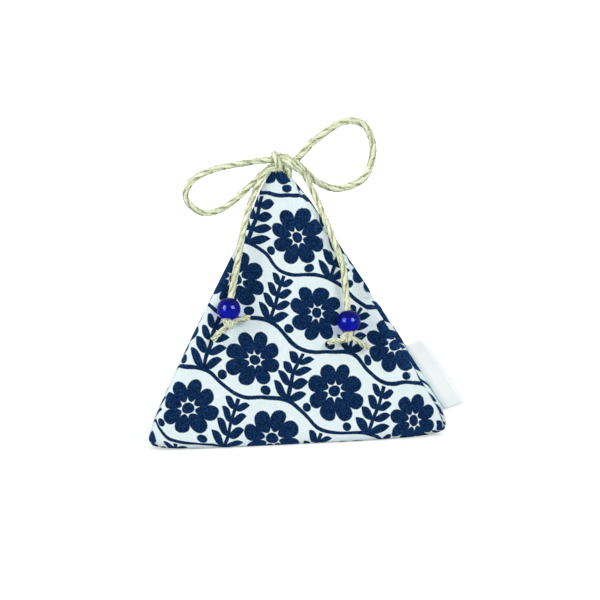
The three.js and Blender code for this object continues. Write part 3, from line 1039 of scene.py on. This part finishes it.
# %% Seams of the cover
SEAMS = {  # bevel width, rows, groove depth, groove width, lip height, lip width
    1: (2.4 * MM, 12, 1.7 * MM, 0.35 * MM, 1.1 * MM, 1.5 * MM),
    2: (1.2 * MM, 6, 0.5 * MM, 0.35 * MM, 0.1 * MM, 0.5 * MM),
    3: (1.0 * MM, 6, 0.4 * MM, 0.3 * MM, 0.1 * MM, 0.5 * MM),
}


def sew(bm, kind, width, rows, depth, groove, lip, lip_width):
    seam = bm.edges.layers.int["seam"]
    edges = [edge for edge in bm.edges if edge[seam] == kind and edge.calc_length() > 0.1 * MM]
    crest = [(edge.verts[0].co.copy(), edge.verts[1].co.copy()) for edge in edges]
    bmesh.ops.bevel(bm, geom=edges, offset=width, segments=rows, profile=0.5, affect="EDGES", material=-1)
    bmesh.ops.remove_doubles(bm, verts=bm.verts, dist=0.01 * MM)
    for vert in bm.verts:
        off = min(from_line(vert.co, start, end) for start, end in crest)
        if off < 3 * width:
            drawn = depth * math.exp(-((off / groove) ** 2)) - lip * math.exp(-((off / lip_width) ** 4))
            vert.co -= (vert.co - MIDDLE).normalized() * drawn


# %% Cloth unfolded into its print
FOLD_WEAR = 0.04  # share of a corner over which the wear along a fold fades out


def upright(place):
    """A place on the cover with the tip's lean and the seam's roll taken out"""
    lean = Vector()
    for _ in range(3):
        outward = place - lean - MIDDLE
        sharp = MIDDLE + outward * FACE / max(-outward.dot(each) for each in CORNERS)
        lean.x = TIP_LEAN * smooth_step(*TIP_SHARES, shares_of(sharp)[0])
    return rolled(place - lean, -1)


def unfold(bm):
    """Give each face its place on the flat cloth, and each point a share of wear, which is 1 on a fold"""
    cloth = bm.loops.layers.uv.new("cloth")
    worn = bm.verts.layers.float.new("worn")
    patches = flat_patches()
    for face in bm.faces:
        patch, far_corner = patches[patch_of(upright(face.calc_center_median()))]
        for loop in face.loops:
            outward = upright(loop.vert.co) - MIDDLE
            shares = shares_of(MIDDLE - outward * FACE / outward.dot(far_corner))
            spots = (share * spot for share, spot in zip(shares, patch))
            loop[cloth].uv = sum(spots, Vector((0, 0)))
            loop.vert[worn] = 1 - smooth_step(0, FOLD_WEAR, sorted(shares)[1])


bm = bmesh.new()
bm.from_mesh(cloth_mesh)
for kind, sizes in SEAMS.items():
    sew(bm, kind, *sizes)
unfold(bm)
bm.to_mesh(cloth_mesh)
bm.free()
print("faces of the sewn cover:", len(cloth_mesh.polygons))

# %% [markdown]
# ## The weave
#
# The cotton is a plain weave, in which each thread passes over one and under the next. An image of cloth
# would blur from near by, so the threads are worked out from the piece's coordinates: two rounded waves
# cross, and a chessboard says which of them is on top. The tape of the label is woven as well, only
# finer, so the weave is a node group that both materials use.

# %% Weave


def plain_weave():
    """Threads over and under each other: their height, and a tone that differs from thread to thread"""
    tree, inputs, outputs = new_group(
        "plain weave", {"Cloth": "Vector", "Thread": "Float"}, {"Height": "Float", "Tone": "Float"})
    u, v, _ = split(tree, inputs["Cloth"])
    thread = Field(tree, inputs["Thread"])
    across, up = u / thread, v / thread
    odd = (across.floor() + up.floor()).calculate("FLOORED_MODULO", 2)
    over = (odd - 0.5) * 0.9
    height = abs((across * math.pi).sin()) * (over + 0.55) + abs((up * math.pi).sin()) * (over * -1 + 0.55)
    feed(tree, outputs["Height"], height)
    cells = tree.nodes.new("ShaderNodeTexWhiteNoise")
    cells.noise_dimensions = "2D"
    whole = tree.nodes.new("ShaderNodeCombineXYZ")
    feed(tree, whole.inputs[0], across.floor())
    feed(tree, whole.inputs[1], up.floor())
    feed(tree, cells.inputs["Vector"], whole.outputs[0])
    slubs = cloud(tree, place_by(tree, inputs["Cloth"], (0.5, 2.4, 1)), 1.0) + cloud(
        tree, place_by(tree, inputs["Cloth"], (2.4, 0.5, 1)), 1.0)
    feed(tree, outputs["Tone"], (slubs - 1) * 0.8 + (Field(tree, cells.outputs["Value"]) - 0.5) * 0.5 + 0.5)
    return tree


WEAVE = plain_weave()
print("nodes in the weave:", len(WEAVE.nodes))

# %% [markdown]
# ## The print
#
# The cotton is printed in navy on white with large shapes that cover about half of it. This design is a
# plain garden print: round blossoms and small ferns take turns along each row, the rows are set half a
# step apart, and a wavy stem with dots runs between them. Each motif is a distance to an edge, below
# zero inside it, and the smallest of the distances is the whole design.

# %% Motifs of the print, in millimetres
REPEAT = 27.0  # from blossom to blossom along a row
ROW = 20.5
PETALS = 8
PETAL_AT = 5.35  # middle of a petal, from the middle of its blossom
PETAL_LONG = 3.25  # half of its length
PETAL_BROAD = 2.15  # half of its breadth
EYE_OF_BLOSSOM = 1.65
FERN_HALF = 7.6
LEAFLET_STEP = 3.9
LEAFLET_LONG = 4.3
LEAFLET_BROAD = 1.55
VINE_WAVE = 1.9
VINE_HALF = 0.55
DOT = 1.35


def half_drop(u, v, across, up):
    """Coordinates about the nearest copy of a motif, and the row that the copy is in"""
    row = ((v - up) / ROW + 0.5).floor()
    return (u - across - row * (REPEAT / 2)).wrap(REPEAT), (v - up).wrap(ROW), row


def blossom(u, v):
    x, y, row = half_drop(u, v, 0, 0)
    out = length_of(x, y)
    turn = abs((y.angle(x) + row * 0.8).wrap(TAU / PETALS))
    along = out * turn.cos() - PETAL_AT
    aside = out * turn.sin() / (along * 0.1 + 1)
    petal = (length_of(along / PETAL_LONG, aside / PETAL_BROAD) - 1) * PETAL_BROAD
    return petal.min(out - EYE_OF_BLOSSOM)


def fern(u, v):
    x, y, _ = half_drop(u, v, REPEAT / 2, 0)
    aside = abs(x)
    stem = (aside - 0.5).max(abs(y + 0.4) - FERN_HALF)
    from_stem = y - aside * 0.7
    reach_out = from_stem * -0.12 + LEAFLET_LONG
    middle = (aside - reach_out * 0.5) / (reach_out * 0.5)
    leaflet = abs(from_stem.wrap(LEAFLET_STEP)) - (middle * middle * -1 + 1) * LEAFLET_BROAD
    return stem.min(leaflet.max(abs(from_stem + 1.9) - 2 * LEAFLET_STEP).max(aside - reach_out))


def vine(u, v):
    x, y, _ = half_drop(u, v, 0, ROW / 2)
    wave = (x * (TAU / REPEAT)).cos()
    line = abs(y - wave * VINE_WAVE) - VINE_HALF
    dots = length_of(abs(x) - REPEAT / 4, y - 2.35) - DOT
    return line.min(dots)


# %% The whole print
PRINT_SIZE = 1.12
PRINT_TURN = math.radians(24)
PRINT_DRIFT = 5  # millimetres that hand-drawn shapes wander


def garden_print():
    """How much ink lies on the cloth"""
    tree, inputs, outputs = new_group("garden print", {"Cloth": "Vector"}, {"Ink": "Float"})
    wander = tree.nodes.new("ShaderNodeTexNoise")
    feed(tree, wander.inputs["Vector"], inputs["Cloth"])
    wander.inputs["Scale"].default_value = 0.045
    drift = split(tree, wander.outputs["Color"])
    size = (1 / PRINT_SIZE,) * 3
    u, v, _ = split(tree, place_by(tree, inputs["Cloth"], size, (0, 0, PRINT_TURN)))
    u = u + (drift[0] - 0.5) * PRINT_DRIFT
    v = v + (drift[1] - 0.5) * PRINT_DRIFT
    edge = blossom(u, v).min(fern(u, v)).min(vine(u, v))
    rough = (cloud(tree, inputs["Cloth"], 2.2, 2.0) - 0.5) * 0.25
    feed(tree, outputs["Ink"], (edge + rough).ramp(0.18, 0.02))
    return tree


PRINT = garden_print()
print("nodes in the print:", len(PRINT.nodes))

# %% Printed cotton finish
THREAD_STEP = 0.36  # millimetres from thread to thread


def cotton_finish():
    material, tree, shader = new_material("printed_cotton", Roughness=0.92, Specular_IOR_Level=0.05)
    cloth = in_millimetres(tree, "UV")
    weave = use_group(tree, WEAVE, Cloth=cloth, Thread=THREAD_STEP)
    height = Field(tree, weave["Height"])
    tone = Field(tree, weave["Tone"])
    ink = Field(tree, use_group(tree, PRINT, Cloth=cloth)["Ink"])
    specks = cloud(tree, cloth, 1.8, 2.0)
    worn = split(tree, attribute(tree, "worn"))[0]
    # The white is partly the threads' own tone and partly painted shade, darker between the threads where
    # the weave is low
    white = blend_colours(tree, tone * 0.7 + height * 0.3, (0.68, 0.83, 0.87), (0.90, 0.99, 1.0))
    faded = (tone - 0.5) * 0.9 + (specks - 0.5) * 1.7 + worn * 0.25 + 0.33
    navy = blend_colours(tree, faded.ramp(0, 1), (0.0005, 0.011, 0.045), (0.014, 0.055, 0.165))
    paint(tree, shader, blend_colours(tree, ink, white, navy), height, 0.1 * MM, 0.6)
    return material


cloth_mesh.materials.append(cotton_finish())
cloth_mesh.shade_smooth()
subdivide(cover, 2)
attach(cover, "sachet")
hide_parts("cover")
print("nodes in the cotton's finish:", len(cloth_mesh.materials[0].node_tree.nodes))

# %% [markdown]
# ## The lavender inside
#
# The filling never shows while the cover is on, but the part can be taken apart. It is a heap of dried
# buds packed to the shape of the cover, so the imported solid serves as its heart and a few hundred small
# buds lie half sunk in its surface. Each bud has only a few dozen faces, because it is repeated so often.

# %% Lavender buds
BUDS = 340
BUD_REACH = 2.3 * MM
BUD_WIDTH = 0.9 * MM
FOLD_CLEAR = 0.08  # no bud lies across a fold, where its ends would stick out


def buds_finish():
    material, tree, shader = new_material("lavender_buds", Roughness=0.95, Specular_IOR_Level=0.15)
    place = in_millimetres(tree, "Object")
    grain = cloud(tree, place, 1.6, 3.0)
    patch = cloud(tree, place, 0.22, 1.0)
    dusty = blend_colours(tree, grain.ramp(0.3, 0.7), (0.075, 0.06, 0.12), (0.30, 0.26, 0.40))
    mixed = blend_colours(tree, patch.ramp(0.5, 0.75), dusty, (0.20, 0.21, 0.12))
    paint(tree, shader, mixed, grain, 0.3 * MM, 0.8)
    return material


def heap_of_buds():
    bm = bmesh.new()
    bm.from_mesh(frame["nodes"]["lavender_filling"].data)
    bmesh.ops.remove_doubles(bm, verts=bm.verts, dist=0.001 * MM)
    draw = random.Random(11)
    beds = sorted(bm.faces, key=lambda face: face.index)
    areas = [face.calc_area() for face in beds]
    spots = []
    for face in draw.choices(beds, weights=areas, k=BUDS):
        shares = [draw.random() + 0.05 for _ in face.verts]
        spot = sum((vert.co * share for vert, share in zip(face.verts, shares)), Vector()) / sum(shares)
        if sorted(shares_of(spot))[1] > FOLD_CLEAR:
            spots.append((spot, face.normal.copy()))
    for spot, normal in spots:
        lie = normal.to_track_quat("Z", "Y").to_matrix().to_4x4()
        turn = Matrix.Rotation(draw.uniform(0, TAU), 4, "Z")
        size = draw.uniform(0.8, 1.15)
        shape = Matrix.Diagonal((BUD_REACH * size, BUD_WIDTH * size, BUD_WIDTH * size, 1))
        sunk = Matrix.Translation(spot - normal * BUD_WIDTH * 0.95)
        bud = sunk @ lie @ turn @ shape
        bmesh.ops.create_uvsphere(bm, u_segments=6, v_segments=5, radius=1, matrix=bud)
    return bm


make_piece("lavender_heap", heap_of_buds(), buds_finish(), "sachet", "lavender_filling")

# %% [markdown]
# ## The label
#
# The label is a length of white satin tape, folded in half and caught in the closing seam by its ends. It
# is blank. One layer is a row of points that is extruded along the seam: out along the front, round the
# fold and back. The tape gets its thickness last, and it bows a little, as stiff tape does.

# %% Folded tape
LABEL_FROM = 19.5 * MM  # measured along the seam from its middle
LABEL_WIDTH = 25 * MM
LABEL_ROOT = 0.2 * MM
LABEL_REACH = 7.5 * MM
LABEL_LAYER = 0.35 * MM
LABEL_HALF = 0.275 * MM  # from the middle of the fold to the middle of each layer
LABEL_ROWS = 16
LAYER_STEPS = 8  # along each layer
FOLD_STEPS = 6  # round the fold
SWELLS_FROM = 5.5  # step of a layer at which it begins to swell towards the fold
LABEL_SLANT = 0.2  # how far the fold has slipped along the seam, for each step out of it
LABEL_BOW = 0.35 * MM
LABEL_DROOP = 0.3 * MM  # how far the corners of the fold are drawn in
FOLD_SWELL = 0.18 * MM  # the fold isn't pressed quite flat
SEAM_TURN = Matrix((SEAM_ALONG, SEAM_OUT, SEAM_SIDE))
SEAM = Matrix.Translation(MIDDLE + SEAM_OUT * reach(SEAM_OUT)) @ SEAM_TURN.transposed().to_4x4()


def folded_tape():
    bm = bmesh.new()
    fold = LABEL_HALF + FOLD_SWELL
    reach_out = LABEL_REACH - LABEL_LAYER / 2 - fold
    outline = []
    for i in range(LAYER_STEPS + 1):
        swell = FOLD_SWELL * smooth_step(SWELLS_FROM, LAYER_STEPS, i)
        outline.append((LABEL_ROOT + (reach_out - LABEL_ROOT) * i / LAYER_STEPS, -LABEL_HALF - swell))
    for i in range(1, FOLD_STEPS):
        turn = math.pi * (i / FOLD_STEPS - 0.5)
        outline.append((reach_out + fold * math.cos(turn), fold * math.sin(turn)))
    outline += [(out, -side) for out, side in reversed(outline[:LAYER_STEPS + 1])]
    row = [bm.verts.new((LABEL_FROM, out, side)) for out, side in outline]
    edges = [bm.edges.new(pair) for pair in zip(row, row[1:])]
    for _ in range(LABEL_ROWS):
        verts, edges = extrude_open(bm, edges)
        bmesh.ops.translate(bm, vec=(LABEL_WIDTH / LABEL_ROWS, 0, 0), verts=verts)
    outness = bm.verts.layers.float.new("out")
    for vert in bm.verts:
        share = (vert.co.x - LABEL_FROM) / LABEL_WIDTH
        out = (vert.co.y - LABEL_ROOT) / (LABEL_REACH - LABEL_ROOT)
        vert[outness] = out
        vert.co.z += LABEL_BOW * out * math.cos(TAU * (share * 0.9 + 0.1))
        vert.co.y -= LABEL_DROOP * out * (2 * share - 1) ** 4
        vert.co.x += LABEL_SLANT * (vert.co.y - LABEL_ROOT)
    bmesh.ops.recalc_face_normals(bm, faces=bm.faces)
    bmesh.ops.transform(bm, matrix=SEAM, verts=bm.verts)
    return bm


# %% Tape finish and label
TAPE_THREAD_STEP = 0.24  # millimetres from thread to thread


def tape_finish():
    material, tree, shader = new_material(
        "label_tape", Roughness=0.6, Specular_IOR_Level=0.3, Sheen_Weight=0.1, Sheen_Roughness=0.4)
    tape = in_millimetres(tree, "Object", SEAM_TURN.to_euler())
    weave = use_group(tree, WEAVE, Cloth=tape, Thread=TAPE_THREAD_STEP)
    height = Field(tree, weave["Height"])
    tone = Field(tree, weave["Tone"])
    # The white is partly the threads' own tone and partly painted shade, darker between the threads where
    # the weave is low
    white = blend_colours(tree, tone * 0.4 + height * 0.5, (0.86, 0.92, 0.92), (0.95, 0.98, 0.98))
    out = split(tree, attribute(tree, "out"))[0]
    shaded = blend_colours(tree, out.ramp(0.4, 0), white, (0.66, 0.77, 0.80))
    paint(tree, shader, shaded, height, 0.05 * MM, 0.5)
    return material


TAPE_FINISH = tape_finish()
label = make_piece("folded_label", folded_tape(), TAPE_FINISH, "label", "side_label")
thick = label.modifiers.new("layer", "SOLIDIFY")
thick.thickness = LABEL_LAYER
thick.offset = 0
subdivide(label, 1)

# %% [markdown]
# The sewn-in half of the label and the stitching of the seams keep the imported solids, which are right as
# they are. The thread is a twist of two fine plies, too fine to be modelled, so slanted stripes in its
# finish stand for them, with painted shade darkening each stripe where it sinks between the plies.

# %% Threads and the sewn-in tape


def thread_finish():
    material, tree, shader = new_material("sewing_thread", Roughness=0.7, Specular_IOR_Level=0.3)
    x, y, z = split(tree, in_millimetres(tree, "Object"))
    twist = ((x + y * 0.6 + z * 0.8) * (TAU / 0.9)).sin() * 0.5 + 0.5
    # Painted shade: the stripes are darker where the relief sinks between the plies
    plies = blend_colours(tree, twist, (0.66, 0.65, 0.61), (0.88, 0.87, 0.84))
    paint(tree, shader, plies, twist, 0.08 * MM, 0.7)
    return material


def dress(node, material):
    slots = frame["nodes"][node].data.materials
    slots.clear()
    slots.append(material)


THREAD_FINISH = thread_finish()
SEAM_THREADS = ("closing_seam_thread", "end_seam_thread", "side_seam_thread")
for node in SEAM_THREADS:
    dress(node, THREAD_FINISH)
dress("label_tab", TAPE_FINISH)
print("packed solids with a new finish:", len(SEAM_THREADS) + 1)

# %% [markdown]
# ## Floor, light and background
#
# The photograph has a pure white ground with only a faint shadow under the sachet. Burning the floor out
# with light would bleach the cloth too, so the light stays plain and the floor adds a little glow of its
# own wherever the camera, a gloss or a glass sees it. The glow is strongest away from the sachet, so the
# shadow near it stays. Two soft lamps light the front and a third one the back. Two wide lamps more shine
# on the beads alone and give each of them its two highlights.

# %% Floor
FLOOR_REACH = 9.0  # metres
GLOW_BESIDE = 0.56  # the floor's own glow beside the sachet
GLOW_BEYOND = 0.4  # how much it gains further out
GLOW_REACH = (0.05, 0.35)  # metres from the middle between which it gains that


def seen_by_eye(tree):
    """1 for rays from the camera, from a gloss or through glass, and 0 for the rest"""
    path = tree.nodes.new("ShaderNodeLightPath")
    eye = Field(tree, path.outputs["Is Camera Ray"]).max(Field(tree, path.outputs["Is Glossy Ray"]))
    return eye.max(Field(tree, path.outputs["Is Transmission Ray"]))


def floor():
    bm = bmesh.new()
    bmesh.ops.create_circle(bm, cap_ends=True, segments=96, radius=FLOOR_REACH)
    mesh = mesh_from(bm, "floor")
    material, tree, shader = new_material("floor", Roughness=1.0, Specular_IOR_Level=0.0)
    shader["Base Color"].default_value = (0.55, 0.58, 0.58, 1)
    shader["Emission Color"].default_value = (1, 1, 1, 1)
    x, y, _ = split(tree, coordinates(tree, "Object"))
    glow = length_of(x, y).ramp(*GLOW_REACH) * GLOW_BEYOND + GLOW_BESIDE
    feed(tree, shader["Emission Strength"], glow * seen_by_eye(tree))
    mesh.materials.append(material)
    add_object("floor", mesh)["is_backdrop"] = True


floor()

# %% World and lamps
AMBIENT = 0.55
GLEAM_TINT = (0.32, 0.43, 1)  # the glass gives its highlights some of its own blue


def world():
    bpy.context.scene.world = bpy.data.worlds.new("studio")
    bpy.context.scene.world.use_nodes = True
    tree = bpy.context.scene.world.node_tree
    light = tree.nodes["Background"]
    light.inputs["Color"].default_value = (1, 1, 1, 1)
    feed(tree, light.inputs["Strength"], seen_by_eye(tree) * (1 - AMBIENT) + AMBIENT)


def softbox(name, place, width, height, watts, gleam_on=()):
    """A soft lamp for everything, or a gleam that only a few glossy pieces reflect"""
    lamp = bpy.data.lights.new(name, "AREA")
    lamp.shape = "RECTANGLE"
    lamp.size = width
    lamp.size_y = height
    lamp.energy = watts
    piece = add_object(name, lamp)
    piece.location = place
    if gleam_on:
        lamp.color = GLEAM_TINT
        piece.visible_diffuse = False
        piece.light_linking.receiver_collection = bpy.data.collections.new(name)
        for glossy in gleam_on:
            piece.light_linking.receiver_collection.objects.link(glossy)
    piece.rotation_euler = (MIDDLE - Vector(place)).to_track_quat("-Z", "Y").to_euler()


world()
softbox("left", (-1.08, -0.55, 0.6), 0.5, 0.6, 6.8)
softbox("right", (0.39, -1.04, 0.8), 0.5, 0.5, 6.2)
softbox("rear", (0.3, 1.15, 0.95), 0.7, 0.7, 5)
softbox("left gleam", (-1.1, -0.65, 0.34), 0.7, 1.4, 225, gleam_on=beads.values())
softbox("right gleam", (0.68, -0.99, 0.58), 0.75, 0.75, 150, gleam_on=beads.values())
bpy.context.scene.view_settings.view_transform = "Standard"
print("lamps:", len(bpy.data.lights))

# %% [markdown]
# ## Size
#
# Dressing the model must not change its size. Both boxes are gathered, the imported model's and the
# dressed one's, so that they can be compared.

# %% Size
sizes = {"cad": [list(corner) for corner in CAD_BOX], "visual": [list(corner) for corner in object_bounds()]}
